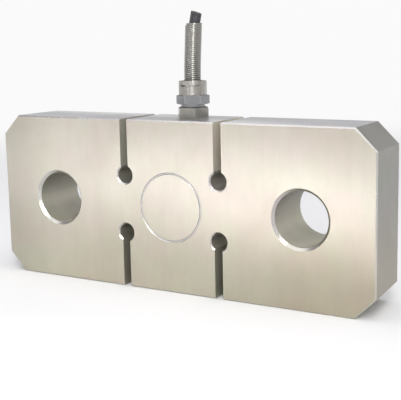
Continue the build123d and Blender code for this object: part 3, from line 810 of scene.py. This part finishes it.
# Painted shade: the wire is darker where it faces up or down, between the turns
painted_turn_shade = rise(calc("ABSOLUTE", split(add, normal)["Z"]), 0.7, 0.98)
tone = layered(calc, 0.86, (lines["Bands"], 0.12), (per_turn, 0.12))
tone = shaded(calc, tone, (painted_turn_shade, -0.2))
merged = layered(calc, 0.25, (rise(axis["Level"], burnish_start, burnish_end), 0.55))
flattening = add("ShaderNodeCombineXYZ", {0: 1.0, 1: 1.0, 2: outside(calc, merged)}).outputs[0]
smoothed = stretched(add, normal, flattening)
smoothed = add("ShaderNodeVectorMath", {0: smoothed}, operation="NORMALIZE").outputs[0]
surface(add, {
    "Base Color": toned(add, (0.345, 0.335, 0.31, 1), tone),
    "Metallic": 1.0,
    "Roughness": layered(calc, 0.32, (lines["Lines"], 0.06), (marks["Smears"], 0.06)),
    "Normal": bumped(add, lines["Height"], 0.08, 0.00002, smoothed),
    "Anisotropic": 0.85,
    "Anisotropic Rotation": 0.25,
})
dress(spring, "strain_relief_spring")

# Solder joints: small tinned fillets where leads, link wires and cores meet the gauges' tabs and the
# pads. Each was drawn up round its wire while molten, so it is broad at its foot and bright on top.
solder, add, calc, rise, place, _ = start_paint("bright_solder")
frost = noise(add, place, 1900.0, 4.0)
surface(add, {
    "Base Color": tinted(add, frost, (0.52, 0.52, 0.53, 1), (0.78, 0.78, 0.78, 1)),
    "Metallic": 1.0,
    "Roughness": layered(calc, 0.14, (frost, 0.2)),
    "Normal": bumped(add, noise(add, place, 600.0, 2.0), 0.2, 0.00006),
})

pad_row = [(index - 1.5) * pad_pitch for index in range(4)]
strip_level, board_level, tab_level = 0.0046, 0.0059, 0.0042
strip_z, upper_z, lower_z = 0.0405, 0.0426, 0.0384
lead_shift, core_shift, link_drop, core_drop = 0.0005, 0.00035, 0.00045, 0.0001
link_size, core_size, strip_lead_size, lead_size = 0.0005, 0.00042, 0.00042, 0.00038
tab_spots = ((0.00565, 0.04715), (0.00375, 0.04715), (-0.00185, 0.04905), (-0.00185, 0.05095))
front_spots = [(x - lead_shift, strip_z, strip_level, strip_lead_size) for x in pad_row]
front_spots += [(x + core_shift, strip_z - link_drop, strip_level, link_size) for x in pad_row]
front_spots += [(x, z, tab_level, lead_size) for x, z in tab_spots]
rear_spots = [(x, lower_z, board_level, link_size) for x in pad_row]
rear_spots += [(x - core_shift, upper_z - core_drop, board_level, core_size) for x in pad_row]
rear_spots += [(x + lead_shift, upper_z, board_level, lead_size) for x in pad_row]
rear_spots += [(-x, z, tab_level, lead_size) for x, z in tab_spots]
joint_sides, joint_height, shoulder, top_share = 14, 0.9, 0.6, 0.42
for side, outward, spots in (("front", -1, front_spots), ("rear", 1, rear_spots)):
    bpy.ops.object.select_all(action="DESELECT")
    joints = []
    for x, z, level, size in spots:
        bpy.ops.mesh.primitive_cylinder_add(
            vertices=joint_sides, radius=size, depth=size * joint_height, end_fill_type="TRIFAN",
            location=(x, outward * (level + size * joint_height / 2), z),
            rotation=(math.radians(90) * -outward, 0, 0),
        )
        joint = bpy.context.object
        bpy.ops.object.transform_apply(location=True, rotation=True, scale=True)
        bpy.ops.object.mode_set(mode="EDIT")
        bpy.ops.mesh.select_all(action="DESELECT")
        bpy.ops.object.mode_set(mode="OBJECT")
        for vertex in joint.data.vertices:
            vertex.select = abs(vertex.co.y) > level + size * shoulder
        bpy.ops.object.mode_set(mode="EDIT")
        bpy.ops.mesh.select_mode(type="VERT")
        bpy.ops.transform.resize(
            value=(top_share, 1.0, top_share), center_override=(x, outward * (level + size * joint_height), z),
        )
        bpy.ops.mesh.select_all(action="SELECT")
        bpy.ops.mesh.subdivide(number_cuts=2, smoothness=0.6)
        bpy.ops.mesh.vertices_smooth(factor=0.5, repeat=2)
        bpy.ops.object.mode_set(mode="OBJECT")
        joints.append(joint)
    bpy.ops.object.select_all(action="DESELECT")
    for joint in joints:
        joint.select_set(True)
    bpy.context.view_layer.objects.active = joints[0]
    bpy.ops.object.join()
    solder_joints = bpy.context.object
    solder_joints.name = f"{side}_solder_joints"
    bpy.ops.object.shade_smooth_by_angle(angle=math.radians(50))
    bpy.context.scene.cursor.location = (0, 0, 0)
    bpy.ops.object.origin_set(type="ORIGIN_CURSOR")
    solder_joints.data.materials.append(solder)
    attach(solder_joints, "root")
    bpy.ops.object.select_all(action="DESELECT")
